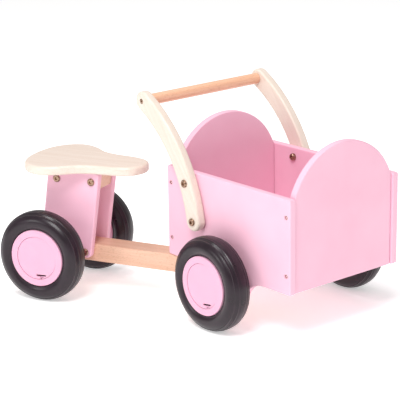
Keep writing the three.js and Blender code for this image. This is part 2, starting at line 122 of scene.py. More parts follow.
azimuth, elevation, roll = (math.radians(angle) for angle in VIEW.values())
turn = (
    Matrix.Rotation(azimuth, 4, "Z")
    @ Matrix.Rotation(math.pi / 2 - elevation, 4, "X")
    @ Matrix.Rotation(roll, 4, "Z")
)
camera = in_scene("camera", bpy.data.cameras.new("camera"))
camera.matrix_world = (
    Matrix.Translation(CHASSIS @ Vector(AIM)) @ turn @ Matrix.Translation((0, 0, DISTANCE / 1000))
)
camera.data.sensor_width = SENSOR
camera.data.lens = LENS
camera.data.clip_end = FARTHEST
scene.camera = camera
print("camera at", [round(c, 3) for c in camera.matrix_world.translation])

# %% [markdown]
# ## Making materials
#
# Every finish is a Principled shader fed by a few pattern nodes. The colours are written as the sRGB hex
# values a painter would note down, and one function turns them to the linear values that light needs.
# Pictures of wood or paint could be wrapped round the pieces instead, but they would need unwrapping and
# would stretch at the edges. Patterns that read the Object coordinates run through a piece as grain does.
# Those coordinates are metres, so a pattern's scale can be worked out from a real size in millimetres.

# %% Colours and sizes
def linear(hexadecimal):
    """An sRGB hex colour such as "F3BDD1" as linear red, green, blue and alpha."""
    channels = [int(hexadecimal[i : i + 2], 16) / 255 for i in (0, 2, 4)]
    return (*(c / 12.92 if c <= 0.04045 else ((c + 0.055) / 1.055) ** 2.4 for c in channels), 1.0)

def every(millimetres):
    """The scale of a pattern that repeats about once in this many millimetres."""
    return 1000 / millimetres

def metres(millimetres):
    return millimetres / 1000

print("the paint in linear light:", [round(c, 3) for c in linear("F3BDD1")])

# %% Nodes and a blank material
# The Mix node's sockets for colours go by number, because their names repeat.
SHARE, COLOUR_A, COLOUR_B, MIXED = 0, 6, 7, 2

def add(material, kind, sockets=None, **settings):
    """Adds one node. Each socket, by name or number, gets a value or a link from another node's output."""
    node = material.node_tree.nodes.new("ShaderNode" + kind)
    for name, value in settings.items():
        setattr(node, name, value)
    for name, value in (sockets or {}).items():
        if isinstance(value, bpy.types.NodeSocket):
            material.node_tree.links.new(value, node.inputs[name])
        else:
            node.inputs[name].default_value = value
    return node

def blank(name, **constants):
    """A new material, its shader, and its Object coordinates."""
    material = bpy.data.materials.new(name)
    material.use_nodes = True
    shader = material.node_tree.nodes["Principled BSDF"]
    for socket, value in constants.items():
        shader.inputs[socket.replace("_", " ")].default_value = value
    return material, shader, add(material, "TexCoord").outputs["Object"]

def feed(material, shader, colour, roughness, bump):
    """Links the last nodes of a finish to its shader."""
    for socket, source in (("Base Color", colour), ("Roughness", roughness), ("Normal", bump)):
        material.node_tree.links.new(source, shader.inputs[socket])

print("one function adds any node, one starts a finish and one ends it")

# %% [markdown]
# ## Pink satin paint
#
# The boards are birch plywood or fibreboard under sprayed water-based enamel, the usual finish for toys. It
# is opaque and even, with a soft sheen and a very fine orange peel from the spray. One flat colour would
# make the large boards look like plastic, so a slow noise lets the coat drift between two close pinks and
# between a little more and a little less sheen.

# %% Sprayed pink enamel
def sprayed_enamel(name, thick, thin):
    paint, shader, place = blank(name, IOR=1.5, Specular_IOR_Level=0.3, Coat_Weight=0.05, Coat_Roughness=0.3)
    drift = add(paint, "TexNoise", {"Vector": place, "Scale": every(90), "Detail": 3.0})
    coat = add(paint, "MapRange", {"Value": drift.outputs[0], "From Min": 0.35, "From Max": 0.65})
    tone = add(
        paint, "Mix",
        {SHARE: coat.outputs[0], COLOUR_A: linear(thick), COLOUR_B: linear(thin)},
        data_type="RGBA",
    )
    # Real orange peel is under a millimetre across; it is drawn at 1.6 mm so that it shows at all.
    peel = add(paint, "TexNoise", {"Vector": place, "Scale": every(1.6), "Detail": 1.0})
    sheen = add(paint, "MapRange", {"Value": drift.outputs[0], "To Min": 0.42, "To Max": 0.56})
    bump = add(paint, "Bump", {"Height": peel.outputs[0], "Strength": 0.12, "Distance": metres(0.2)})
    feed(paint, shader, tone.outputs[MIXED], sheen.outputs[0], bump.outputs[0])
    return paint

pink_paint = sprayed_enamel("sprayed_pink_enamel", "F3BDD1", "F6C4D7")
print("made", pink_paint.name)

# %% [markdown]
# ## Lacquered wood
#
# The saddle and the handle arms are pale birch, the beam and the grip are warmer beech, and all have a
# clear satin lacquer. Both woods are close-grained: birch shows soft long streaks a few millimetres apart,
# beech adds short dark flecks, the ends of its rays. A Wave texture would give even stripes, like pine.
# Noise that is stretched many times along the grain wanders as these woods do, and each piece gets the
# direction its own grain follows.

# %% Birch and beech with their grain along a direction
GRAIN_STRETCH = 30  # how many times longer a streak is than it is wide
FLECK = (4.5, 0.9, 0.9)  # millimetres along and across the grain

def lacquered_wood(name, early, late, fleck, along, streak, flecks):
    """along is the grain's direction as an Euler turn of the x axis, streak the grain's width in mm."""
    wood, shader, place = blank(name, IOR=1.5, Coat_Weight=0.2, Coat_Roughness=0.25)
    # A Mapping node of type Texture divides by its scale, so the noises after it count in that size.
    grain, rays = (
        add(
            wood, "Mapping",
            {"Vector": place, "Rotation": along, "Scale": [metres(side) for side in size]},
            vector_type="TEXTURE",
        )
        for size in ((GRAIN_STRETCH * streak, streak, streak), FLECK)
    )
    wander = add(wood, "TexNoise", {"Vector": grain.outputs[0], "Scale": 0.45, "Detail": 2.0})
    fine = add(wood, "TexNoise", {"Vector": grain.outputs[0], "Scale": 2.2, "Detail": 4.0})
    both = add(wood, "Math", {0: wander.outputs[0], 1: fine.outputs[0]}, operation="ADD")
    rings = add(wood, "MapRange", {"Value": both.outputs[0], "From Min": 0.75, "From Max": 1.25})
    tone = add(
        wood, "Mix",
        {SHARE: rings.outputs[0], COLOUR_A: linear(early), COLOUR_B: linear(late)},
        data_type="RGBA",
    )
    spots = add(wood, "TexNoise", {"Vector": rays.outputs[0], "Scale": 1.0, "Detail": 0.0})
    dark = add(
        wood, "MapRange",
        {"Value": spots.outputs[0], "From Min": 0.62, "From Max": 0.72, "To Max": flecks},
    )
    colour = add(
        wood, "Mix",
        {SHARE: dark.outputs[0], COLOUR_A: tone.outputs[MIXED], COLOUR_B: linear(fleck)},
        data_type="RGBA",
    )
    pores = add(wood, "Bump", {"Height": fine.outputs[0], "Strength": 0.15, "Distance": metres(0.2)})
    sheen = add(wood, "MapRange", {"Value": rings.outputs[0], "To Min": 0.38, "To Max": 0.5})
    feed(wood, shader, colour.outputs[MIXED], sheen.outputs[0], pores.outputs[0])
    return wood

# %% The four woods
ARM_LEAN = math.radians(55)  # how steeply the handle arms' grain climbs backwards
BIRCH, BEECH = {"streak": 3.5, "flecks": 0.25}, {"streak": 3, "flecks": 0.45}
BAR_BEECH = {"streak": 3, "flecks": 0.35}
forwards, across = (0, 0, 0), (0, 0, steering + math.pi / 2)
up_the_arm = (Matrix.Rotation(steering, 3, "Z") @ Matrix.Rotation(ARM_LEAN, 3, "Y")).to_euler()
birch_seat = lacquered_wood("lacquered_birch_saddle", "ECDCD0", "E4D1C3", "D3BBA8", forwards, **BIRCH)
birch_arm = lacquered_wood("lacquered_birch_arm", "EADCD0", "E3D3C4", "D3BFAC", up_the_arm, **BIRCH)
beech_beam = lacquered_wood("lacquered_beech_beam", "EABFA6", "DFAF93", "C09476", forwards, **BEECH)
beech_bar = lacquered_wood("lacquered_beech_bar", "F6C6A6", "EDB592", "CB9270", across, **BAR_BEECH)
print("made", birch_seat.name, birch_arm.name, beech_beam.name, beech_bar.name, sep="\n  ")

# %% [markdown]
# ## Moulded plastic and rubber
#
# The hubs are moulded polypropylene, dyed through, so they are slightly deeper in colour and glossier than
# the paint, with the faint texture of the mould. The tyres are a soft synthetic rubber with a warm grey cast
# from dust and bloom. A plain black would swallow their shape: it takes broad pale highlights on the
# shoulders, so the rubber is kept fairly smooth and its bloom comes and goes in patches.

# %% Polypropylene for the hubs
def moulded_polypropylene(name, shade, light):
    plastic, shader, place = blank(name, IOR=1.49, Subsurface_Weight=0.05, Subsurface_Scale=metres(2))
    flow = add(plastic, "TexNoise", {"Vector": place, "Scale": every(30), "Detail": 2.0})
    tone = add(
        plastic, "Mix",
        {SHARE: flow.outputs[0], COLOUR_A: linear(shade), COLOUR_B: linear(light)},
        data_type="RGBA",
    )
    # The spark texture of a mould is about a tenth of this; it is drawn coarse enough to soften highlights.
    spark = add(plastic, "TexNoise", {"Vector": place, "Scale": every(1.2), "Detail": 1.0})
    bump = add(plastic, "Bump", {"Height": spark.outputs[0], "Strength": 0.08, "Distance": metres(0.1)})
    sheen = add(plastic, "MapRange", {"Value": flow.outputs[0], "To Min": 0.28, "To Max": 0.4})
    feed(plastic, shader, tone.outputs[MIXED], sheen.outputs[0], bump.outputs[0])
    return plastic

pink_plastic = moulded_polypropylene("moulded_pink_polypropylene", "E2A9C3", "E8B2CB")
print("made", pink_plastic.name)

# %% Rubber for the tyres
def moulded_rubber(name, deep, bloom):
    rubber, shader, place = blank(name, IOR=1.5, Specular_IOR_Level=0.45)
    dust = add(rubber, "TexNoise", {"Vector": place, "Scale": every(18), "Detail": 5.0})
    patch = add(rubber, "MapRange", {"Value": dust.outputs[0], "From Min": 0.3, "From Max": 0.75})
    tone = add(
        rubber, "Mix",
        {SHARE: patch.outputs[0], COLOUR_A: linear(deep), COLOUR_B: linear(bloom)},
        data_type="RGBA",
    )
    # Its pores are finer than this; they are drawn at 0.9 mm so that they break up the highlights.
    skin = add(rubber, "TexNoise", {"Vector": place, "Scale": every(0.9), "Detail": 2.0})
    bump = add(rubber, "Bump", {"Height": skin.outputs[0], "Strength": 0.15, "Distance": metres(0.2)})
    sheen = add(rubber, "MapRange", {"Value": patch.outputs[0], "To Min": 0.27, "To Max": 0.37})
    feed(rubber, shader, tone.outputs[MIXED], sheen.outputs[0], bump.outputs[0])
    return rubber

tyre_rubber = moulded_rubber("moulded_grey_rubber", "180914", "241220")
print("made", tyre_rubber.name)

# %% [markdown]
# ## Plated steel
#
# The visible bolts have a dark bronze plating that has worn a little brighter in places, and the axles,
# washers and push nuts are bright zinc. Both are metals, so the colour is in the reflection. An even
# roughness would look like chrome or like grey paint, and a cloudy one stands for the uneven plating.

# %% Bronze plating and bright zinc
def plated_steel(name, dull, bright, smooth, rough):
    steel, shader, place = blank(name, Metallic=1.0)
    cloud = add(steel, "TexNoise", {"Vector": place, "Scale": every(4), "Detail": 3.0})
    tone = add(
        steel, "Mix",
        {SHARE: cloud.outputs[0], COLOUR_A: linear(dull), COLOUR_B: linear(bright)},
        data_type="RGBA",
    )
    sheen = add(steel, "MapRange", {"Value": cloud.outputs[0], "To Min": smooth, "To Max": rough})
    # The grain of plating is under a tenth of a millimetre; at 0.6 mm it just softens the reflections.
    grind = add(steel, "TexNoise", {"Vector": place, "Scale": every(0.6), "Detail": 1.0})
    bump = add(steel, "Bump", {"Height": grind.outputs[0], "Strength": 0.1, "Distance": metres(0.05)})
    feed(steel, shader, tone.outputs[MIXED], sheen.outputs[0], bump.outputs[0])
    return steel

bronze_bolt = plated_steel("bronze_plated_steel", "75574A", "BFA28A", 0.18, 0.36)
zinc = plated_steel("zinc_plated_steel", "A9A9AC", "C9C9CC", 0.28, 0.45)
print("made", bronze_bolt.name, "and", zinc.name)

# %% [markdown]
# ## From a finished shape to a piece of the bike
#
# Each new piece stands for one working piece: it rides on the same body, takes the finish it is given, and
# hides the plain one. A piece could be placed by its object's location and rotation, but here its place goes
# into its mesh, so that its object stays at the origin and its grain stays put. Faces are shaded smooth,
# steep edges stay sharp, and the Weighted Normal modifier keeps flat boards flat right up to their rounded
# edges, which plain smooth shading would leave looking swollen.

# %% Putting a piece in its place
SMOOTH_UNDER = math.radians(35)
record = frame["record"]
body_of = {node: body for body, nodes in record["behaviour"]["bodies"].items() for node in nodes}

def new_piece(name, bm, place, material, body):
    """Turns a bmesh drawn in millimetres into a finished piece in its place on one body."""
    bm.transform(place)
    bm.normal_update()
    bmesh.ops.recalc_face_normals(bm, faces=bm.faces)
    if bm.calc_volume(signed=True) < 0:  # some places mirror the shape, which turns it inside out
        bmesh.ops.reverse_faces(bm, faces=bm.faces)
    mesh = bpy.data.meshes.new(name)
    bm.to_mesh(mesh)
    bm.free()
    mesh.shade_smooth()
    mesh.set_sharp_from_angle(angle=SMOOTH_UNDER)
    mesh.materials.append(material)
    piece = in_scene(name, mesh)
    normals = piece.modifiers.new("flat faces", "WEIGHTED_NORMAL")
    normals.keep_sharp = True
    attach(piece, body)
    return piece

def fit(node, bm, place, material):
    """The finished piece that stands for one working piece."""
    piece = new_piece(node + "_finished", bm, place, material, body_of[node])
    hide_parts(node)
    return piece

print(len(body_of), "working pieces to finish or to paint")

# %% [markdown]
# ## Boards
#
# All the wooden pieces are cut from flat stock: an outline is sawn, and the edges are rounded with a router
# bit. A stretched cube with a Bevel modifier would do for a plain plank, but most of these boards have arcs.
# So a flat outline is drawn, filled, given its thickness and bevelled. A straight stroke adds one vertex,
# and an arc is that vertex spun about the arc's middle.

# %% Sawing an outline
ARC_STEP = 5  # degrees of arc for each short edge
SAME_POINT = 0.05  # millimetres
# A drawing in x and y is laid along the bike by the first of these, and across it by the second.
LENGTHWAYS = Matrix(((1, 0, 0, 0), (0, 0, 1, 0), (0, 1, 0, 0), (0, 0, 0, 1)))
CROSSWAYS = Matrix(((0, 0, 1, 0), (1, 0, 0, 0), (0, 1, 0, 0), (0, 0, 0, 1)))

def saw(start, *strokes):
    """A flat filled outline. A stroke is a point to saw to, or an arc's middle with its turn in degrees."""
    bm = bmesh.new()
    tip = bmesh.ops.create_vert(bm, co=(*start, 0))["vert"][0]
    for u, v, *turn_by in strokes:
        if turn_by:
            swept = bmesh.ops.spin(
                bm, geom=[tip], cent=(u, v, 0), axis=(0, 0, 1), angle=math.radians(turn_by[0]),
                steps=max(2, round(abs(turn_by[0]) / ARC_STEP)),
            )
            tip = swept["geom_last"][0]
        else:
            corner = bmesh.ops.create_vert(bm, co=(u, v, 0))["vert"][0]
            bm.edges.new((tip, corner))
            tip = corner
    bmesh.ops.remove_doubles(bm, verts=bm.verts, dist=SAME_POINT)
    bmesh.ops.contextual_create(bm, geom=bm.edges)
    return bm

def sawn_square(low, high):
    """A rectangle between two corners."""
    return saw((low.x, low.y), (high.x, low.y), (high.x, high.y), (low.x, high.y))

test = saw((1, 0), (0, 0, 180))
print("half a disc has", len(test.verts), "vertices")
test.free()

# %% Giving it thickness and rounding its edges
SHARP = math.radians(30)

def vertices_in(geometry):
    return [item for item in geometry if isinstance(item, bmesh.types.BMVert)]

def thicken(bm, low, high):
    """Gives the outline its thickness, from low to high along its own third axis."""
    bmesh.ops.translate(bm, verts=bm.verts, vec=(0, 0, low))
    risen = bmesh.ops.extrude_face_region(bm, geom=bm.faces[:])["geom"]
    bmesh.ops.translate(bm, verts=vertices_in(risen), vec=(0, 0, high - low))
    bmesh.ops.recalc_face_normals(bm, faces=bm.faces)
    return bm

def rout(bm, radius, edges=None, segments=4):
    """Rounds the given edges, or all that are sharp."""
    chosen = edges or [e for e in bm.edges if e.calc_face_angle(0) > SHARP]
    bmesh.ops.bevel(
        bm, geom=chosen, offset=radius, offset_type="OFFSET", affect="EDGES",
        segments=segments, profile=0.5, material=-1,
    )
    return bm

test = rout(thicken(sawn_square(Vector((0, 0)), Vector((100, 50))), 0, 12), 2)
print("a rounded board of 100 x 50 x 12 mm has", len(test.faces), "faces")
test.free()

# %% [markdown]
# ### Holes
#
# Bolts and screws go through the boards or sit in shallow recesses. A hole could be left in the outline
# before the board gets its thickness, but a recess could not, because it stops inside the wood. A Boolean
# with the Exact solver makes both, as a drill does, and its result is read back into the same bmesh.

# %% Drilling a board
HOLE_SIDES = 40
CLEAR = 1  # millimetres that a bit starts in front of a face, or passes it by

def drill(bm, *bits):
    """Bores round holes along the third axis. A bit is its u, v and radius, and where it starts and ends."""
    bore = bmesh.new()
    for u, v, radius, start, end in bits:
        bmesh.ops.create_cone(
            bore, cap_ends=True, segments=HOLE_SIDES, radius1=radius, radius2=radius,
            depth=abs(end - start), matrix=Matrix.Translation((u, v, (start + end) / 2)),
        )
    work, tool = (in_scene(name, bpy.data.meshes.new(name)) for name in ("work", "tool"))
    bm.to_mesh(work.data)
    bore.to_mesh(tool.data)
    bore.free()
    cut = work.modifiers.new("bore", "BOOLEAN")
    cut.object, cut.operation, cut.solver = tool, "DIFFERENCE", "EXACT"
    bm.clear()
    bm.from_object(work, bpy.context.evaluated_depsgraph_get())
    for holder in (work, tool):
        bpy.data.objects.remove(holder)
    return bm

test = thicken(sawn_square(Vector((0, 0)), Vector((100, 50))), 0, 12)
drill(test, (20, 20, 3, -CLEAR, 12 + CLEAR))
print("a board with one hole has", len(test.verts), "vertices")
test.free()

# %% Bits that go through, and bits that stop
def through(u, v, radius, low, high):
    """A hole right through a board that lies between low and high in y."""
    return u, v, radius, low.y - CLEAR, high.y + CLEAR

def recess(u, v, size, low, high, word):
    """A hole of one radius and depth in the outer face of a board on the right or on the left."""
    face, inwards = (low.y, 1) if word == "right" else (high.y, -1)
    return u, v, size["radius"], face - inwards * CLEAR, face + inwards * size["depth"]

print("a recess 2 mm deep:", recess(0, 0, {"radius": 3, "depth": 2}, side_low, side_high, "left")[3:])

# %% [markdown]
# ## The cargo box
#
# Two long sides with the ends let in between them, about three millimetres back from the sides' ends. Each
# end rises in a round arch. Each side has a round lobe that hangs below its lower edge and carries the
# wheel's axle, with a hollow curve where the lobe runs into the edge. One hollowed block would be quicker,
# but it would lose the joints between the boards, which show at every corner.

# %% Where the handle arms cross the sides
ARM_MIDDLE, ARM_RADIUS = (-380.2, 117.5), 245.3
ARM_START, ARM_BOLT, ARM_END = 9.1, 23.5, 60.1  # degrees above level of both bolts and of the bar
BOLT_HOLE = 3.15

def on_arm(degrees, out=0):
    """A point on the arm's middle line, or that far outside it, in x and z."""
    angle = math.radians(degrees)
    u, v = ARM_MIDDLE
    return u + (ARM_RADIUS + out) * math.cos(angle), v + (ARM_RADIUS + out) * math.sin(angle)

arm_bolts = [on_arm(angle) for angle in (ARM_START, ARM_BOLT)]
print("bolts at", [[round(c, 1) for c in bolt] for bolt in arm_bolts])

# %% A side's outline
LOBE_RADIUS, LOBE_FILLET, CORNER = 45, 45, 4
axle_low, axle_high = span("front_axle_left", BOX)
axle_x, axle_z = (axle_low.x + axle_high.x) / 2, (axle_low.z + axle_high.z) / 2
front_low, front_high = span("front_panel", BOX)
box_bottom, box_top = front_low.z, side_high.z

def side_outline():
    drop = box_bottom - LOBE_FILLET - axle_z
    reach = math.sqrt((LOBE_RADIUS + LOBE_FILLET) ** 2 - drop**2)
    bend = math.degrees(math.atan2(-drop, reach))
    rear, front = side_low.x, side_high.x
    return saw(
        (rear + CORNER, box_top),
        (rear + CORNER, box_top - CORNER, 90),
        (rear, box_bottom + CORNER),
        (rear + CORNER, box_bottom + CORNER, 90),
        (axle_x - reach, box_bottom),
        (axle_x - reach, box_bottom - LOBE_FILLET, bend - 90),
        (axle_x, axle_z, 180 - 2 * bend),
        (axle_x + reach, box_bottom - LOBE_FILLET, bend - 90),
        (front - CORNER, box_bottom),
        (front - CORNER, box_bottom + CORNER, 90),
        (front, box_top - CORNER),
        (front - CORNER, box_top - CORNER, 90),
    )

print(f"the axle is {axle_z:.0f} mm up, {box_bottom - axle_z:.0f} mm under the box's lower edge")

# %% The two sides
EDGE_RADIUS, AXLE_BORE = 2.2, 4.15
BOX_SCREWS = [(x, z) for x in (-208, 58) for z in (203.5, 112)]
SCREW_HOLE = {"radius": 3.5, "depth": 1.1}

for word in ("right", "left"):
    low, high = span(f"side_panel_{word}", BOX)
    board = rout(thicken(side_outline(), low.y, high.y), EDGE_RADIUS)
    drill(
        board,
        through(axle_x, axle_z, AXLE_BORE, low, high),
        *(through(*bolt, BOLT_HOLE, low, high) for bolt in arm_bolts),
        *(recess(*screw, SCREW_HOLE, low, high, word) for screw in BOX_SCREWS),
    )
    fit(f"side_panel_{word}", board, BOX @ LENGTHWAYS, pink_paint)
print("sides from", round(side_low.x), "to", round(side_high.x), "mm along the box")

# %% The two arched ends and the floor
ARCH_RADIUS, FLOOR_EDGE = 111, 0.8

for node in ("front_panel", "rear_panel"):
    low, high = span(node, BOX)
    half, middle = high.y, high.z - ARCH_RADIUS
    spring = math.degrees(math.acos(half / ARCH_RADIUS))
    shoulder = middle + ARCH_RADIUS * math.sin(math.radians(spring))
    end = saw((-half, low.z), (half, low.z), (half, shoulder), (0, middle, 180 - 2 * spring))
    fit(node, rout(thicken(end, low.x, high.x), EDGE_RADIUS), BOX @ CROSSWAYS, pink_paint)

low, high = span("floor_panel", BOX)
boards = thicken(sawn_square(low, high), low.z, high.z)
fit("floor_panel", rout(boards, FLOOR_EDGE, segments=2), BOX, pink_paint)
print(f"the arches rise to {front_high.z:.0f} mm over a floor at {high.z:.0f} mm")

# %% [markdown]
# ## The handle
#
# Two bent arms of birch, well rounded along both edges so that they are pleasant to grip, and a beech bar
# between their upper ends, held by one screw from each side. An arm could be a curve with a bevelled
# section, but sawing it as an arc keeps its two sides truly flat, as they are where they lie on the box.

# %% The bent arms
ARM_WIDTH, ARM_EDGE = 31, 4
WELL = {"radius": 4.3, "depth": 2.2}

for word in ("right", "left"):
    low, high = span(f"handle_arm_{word}", BOX)
    sweep = ARM_END - ARM_START
    arm = saw(
        on_arm(ARM_START, ARM_WIDTH / 2),
        (*ARM_MIDDLE, sweep),
        (*on_arm(ARM_END), 180),
        (*ARM_MIDDLE, -sweep),
        (*on_arm(ARM_START), 180),
    )
    rout(thicken(arm, low.y, high.y), ARM_EDGE, segments=5)
    drill(
        arm,
        *(through(*bolt, BOLT_HOLE, low, high) for bolt in arm_bolts),
        recess(*on_arm(ARM_END), WELL, low, high, word),
    )
    fit(f"handle_arm_{word}", arm, BOX @ LENGTHWAYS, birch_arm)
print(f"the arms are {high.y - low.y:.1f} mm thick and end {high.z:.0f} mm up")

# %% The grip bar
BAR_SIDES, BAR_EDGE = 72, 0.8
low, high = span("handlebar", BOX)
bar_radius = (high.z - low.z) / 2
grip = bmesh.new()
bmesh.ops.create_cone(
    grip, cap_ends=True, segments=BAR_SIDES, radius1=bar_radius, radius2=bar_radius, depth=high.y - low.y,
    matrix=Matrix.Translation((low + high) / 2) @ Matrix.Rotation(math.pi / 2, 4, "X"),
)
fit("handlebar", rout(grip, BAR_EDGE, segments=2), BOX, beech_bar)
print(f"the bar is {2 * bar_radius:.0f} mm thick")

# %% [markdown]
# ## The chassis
#
# A square-edged beech beam, rounded at its front end about the pivot and sloped underneath it, with a hollow
# that hides the pivot's nut. A pink board on each flank leans forwards and carries the saddle, and a block
# between the two boards takes the saddle's bolts. The slope could be part of a side outline, but the round
# end could not be then, so the beam is sawn in plan and one plane slices its underside away.

# %% The beam
NOSE_START, NOSE_TIP = -14, 65  # the underside slopes up from here to this height at the front end
NUT_WELL = {"radius": 12.5, "roof": 68}
BEAM_EDGE, PIVOT_BORE = 2.4, 4.25

low, high = span("beam", CHASSIS)
half = high.y
beam = thicken(saw((low.x, -half), (0, -half), (0, 0, 180), (low.x, half)), low.z, high.z)
bmesh.ops.bisect_plane(
    beam, geom=beam.verts[:] + beam.edges[:] + beam.faces[:], plane_co=(NOSE_START, 0, low.z),
    plane_no=(NOSE_TIP - low.z, 0, NOSE_START - half), clear_outer=True,
)
bmesh.ops.holes_fill(beam, edges=beam.edges)
rout(beam, BEAM_EDGE)
# The well and the bore meet, so they are drilled one after the other: a Boolean needs separate bits.
drill(beam, (0, 0, NUT_WELL["radius"], low.z - CLEAR, NUT_WELL["roof"]))
drill(beam, (0, 0, PIVOT_BORE, low.z - CLEAR, high.z + CLEAR))
fit("beam", beam, CHASSIS, beech_beam)
print(f"the beam is {2 * half:.0f} x {high.z - low.z:.0f} mm")

# %% The leaning boards and the block between them
LEAN = math.tan(math.radians(8.4))
POST_CORNER = 7
BLOCK_CORNER, BLOCK_EDGE = 0.8, 1

def leaning(low, high, corner):
    """A leaning four-sided outline in x and z. Its corners are rounded as edges once it has thickness."""
    shift = (high.z - low.z) * LEAN
    flat = saw((low.x, low.z), (high.x - shift, low.z), (high.x, high.z), (low.x + shift, high.z))
    board = thicken(flat, low.y, high.y)
    uprights = [e for e in board.edges if abs(e.verts[0].co.z - e.verts[1].co.z) > 1]
    return rout(board, corner, edges=uprights, segments=6)

for word in ("right", "left"):
    low, high = span(f"seat_panel_{word}", CHASSIS)
    board = rout(leaning(low, high, POST_CORNER), EDGE_RADIUS)
    fit(f"seat_panel_{word}", board, CHASSIS @ LENGTHWAYS, pink_paint)

low, high = span("seat_block", CHASSIS)
block = rout(leaning(low, high, BLOCK_CORNER), BLOCK_EDGE, segments=2)
fit("seat_block", block, CHASSIS @ LENGTHWAYS, beech_beam)
print("two boards and a block")

# %% [markdown]
# ## The saddle
#
# A plywood board sawn to a saddle's plan: a broad round back, a waist for the legs and a narrow round nose,
# rounded well over along its upper edge. The plan is a free curve. It could be drawn again point by point,
# but the working piece already holds it: a cut at mid-height gives its outline, which is divided finer,
# relaxed, filled and thickened again.

# %% A saddle from its own outline
SEAT_TOP_EDGE, SEAT_LOW_EDGE = 5.5, 3
CUTS, RELAXINGS = 3, 6
HAIR = 0.01  # millimetres

low, high = span("seat_board", CHASSIS)
saddle = bmesh.new()
saddle.from_mesh(frame["nodes"]["seat_board"].data)
saddle.transform(CHASSIS.inverted())
bmesh.ops.remove_doubles(saddle, verts=saddle.verts, dist=HAIR)
bmesh.ops.bisect_plane(
    saddle, geom=saddle.verts[:] + saddle.edges[:] + saddle.faces[:],
    plane_co=(0, 0, (low.z + high.z) / 2), plane_no=(0, 0, 1), clear_inner=True, clear_outer=True,
)
bmesh.ops.subdivide_edges(saddle, edges=saddle.edges[:], cuts=CUTS)
for _ in range(RELAXINGS):
    bmesh.ops.smooth_vert(saddle, verts=saddle.verts, factor=0.5, use_axis_x=True, use_axis_y=True)
for vertex in saddle.verts:
    vertex.co.z = 0
bmesh.ops.contextual_create(saddle, geom=saddle.edges[:])
print("the saddle's outline has", len(saddle.verts), "points")

# %% Thickening and rounding it
thicken(saddle, low.z, high.z)
upper = [e for e in saddle.edges if min(v.co.z for v in e.verts) > high.z - 0.1]
rout(saddle, SEAT_TOP_EDGE, edges=upper, segments=6)
rout(saddle, SEAT_LOW_EDGE)
fit("seat_board", saddle, CHASSIS, birch_seat)
print(f"the saddle is {high.x - low.x:.0f} x {high.y - low.y:.0f} mm, its top {high.z:.1f} mm up")

# %% [markdown]
# ## The wheels
#
# Each wheel is a rubber tyre on a moulded hub with a snap-in cap. A Screw modifier on a half section would
# turn them too, but a spin inside the bmesh leaves a mesh that can be worked on: the hub's rim is rounded
# more than its other corners. The drawing has the axle along y with the wheel's outer face at +y, and a
# right-hand wheel is the same drawing turned half round.

# %% Where each wheel goes
CAP_TURNS = {"rear": -3, "front": -9}  # degrees that the caps are turned
HALVES = {"rear": CHASSIS, "front": BOX}
OUTWARDS = {"right": Matrix.Rotation(math.pi, 4, "Z"), "left": Matrix.Identity(4)}
WHEELS = [(end, word) for end in HALVES for word in OUTWARDS]

def axle_place(end, word, turn=0):
    """The frame of one wheel: origin in its middle, y out along the axle."""
    low, high = span(f"{end}_{word}_tyre", HALVES[end])
    return (
        HALVES[end]
        @ Matrix.Translation((low + high) / 2)
        @ Matrix.Rotation(math.radians(turn), 4, "Y")
        @ OUTWARDS[word]
    )

print("wheels:", WHEELS)

# %% Turning on a lathe
def turn_on_lathe(bm, steps):
    """Spins everything drawn in bm once round the y axis."""
    bmesh.ops.spin(
        bm, geom=bm.verts[:] + bm.edges[:], cent=(0, 0, 0), axis=(0, 1, 0), angle=2 * math.pi,
        steps=steps, use_merge=True,
    )
    bmesh.ops.remove_doubles(bm, verts=bm.verts, dist=HAIR)
    bmesh.ops.recalc_face_normals(bm, faces=bm.faces)
    return bm

def turned(profile, steps=48, closed=False):
    """A turned piece from its half section, a chain of (radius, distance along the axle)."""
    bm = bmesh.new()
    chain = [bm.verts.new((radius, along, 0)) for radius, along in profile]
    for start, end in zip(chain, chain[1:] + (chain[:1] if closed else [])):
        bm.edges.new((start, end))
    return turn_on_lathe(bm, steps)

test = turned([(0, 0), (5, 0), (5, 10), (0, 10)])
print("a turned peg has", len(test.faces), "faces")
test.free()

# %% [markdown]
# ### Tyres
#
# The tyre's section is close to an oval, wider than it is deep, seated in the hub's channel. A torus would
# be too round and too smooth: fine raised lines run round a real tyre where the two halves of the mould and
# its inserts meet, one at the bead, one on the shoulder, and two pairs on the tread. So the section is a
# circle whose points are moved out a little at those lines, squashed to an oval, cut off at the bead and
# spun.

# %% A tyre's half section
low, high = span("rear_right_tyre", CHASSIS)
TYRE_RADIUS, TYRE_HALF_WIDTH = (high.z - low.z) / 2, (high.y - low.y) / 2
TYRE_CROWN, BEAD_RADIUS = 16.5, 44
MOULD_LINES = {10: 0.2, 23.3: 0.5, 43.3: 0.7, 123.3: 0.6}  # degrees from the tread's middle: height in mm
SECTION_POINTS, TYRE_STEPS = 108, 144

def tyre_section():
    bm = bmesh.new()
    oval = bmesh.ops.create_circle(bm, segments=SECTION_POINTS, radius=1)["verts"]
    for vertex in oval:
        angle = abs(math.degrees(math.atan2(vertex.co.y, vertex.co.x)))
        grown = sum(height for line, height in MOULD_LINES.items() if abs(angle - line) < 1)
        vertex.co *= 1 + grown / TYRE_CROWN
    bmesh.ops.scale(bm, verts=oval, vec=(TYRE_CROWN, TYRE_HALF_WIDTH, 1))
    bmesh.ops.translate(bm, verts=oval, vec=(TYRE_RADIUS - TYRE_CROWN, 0, 0))
    bmesh.ops.bisect_plane(
        bm, geom=bm.verts[:] + bm.edges[:], plane_co=(BEAD_RADIUS, 0, 0), plane_no=(-1, 0, 0),
        clear_outer=True,
    )
    bm.edges.new([v for v in bm.verts if len(v.link_edges) == 1])
    return bm

test = tyre_section()
print("the section has", len(test.verts), "points")
test.free()

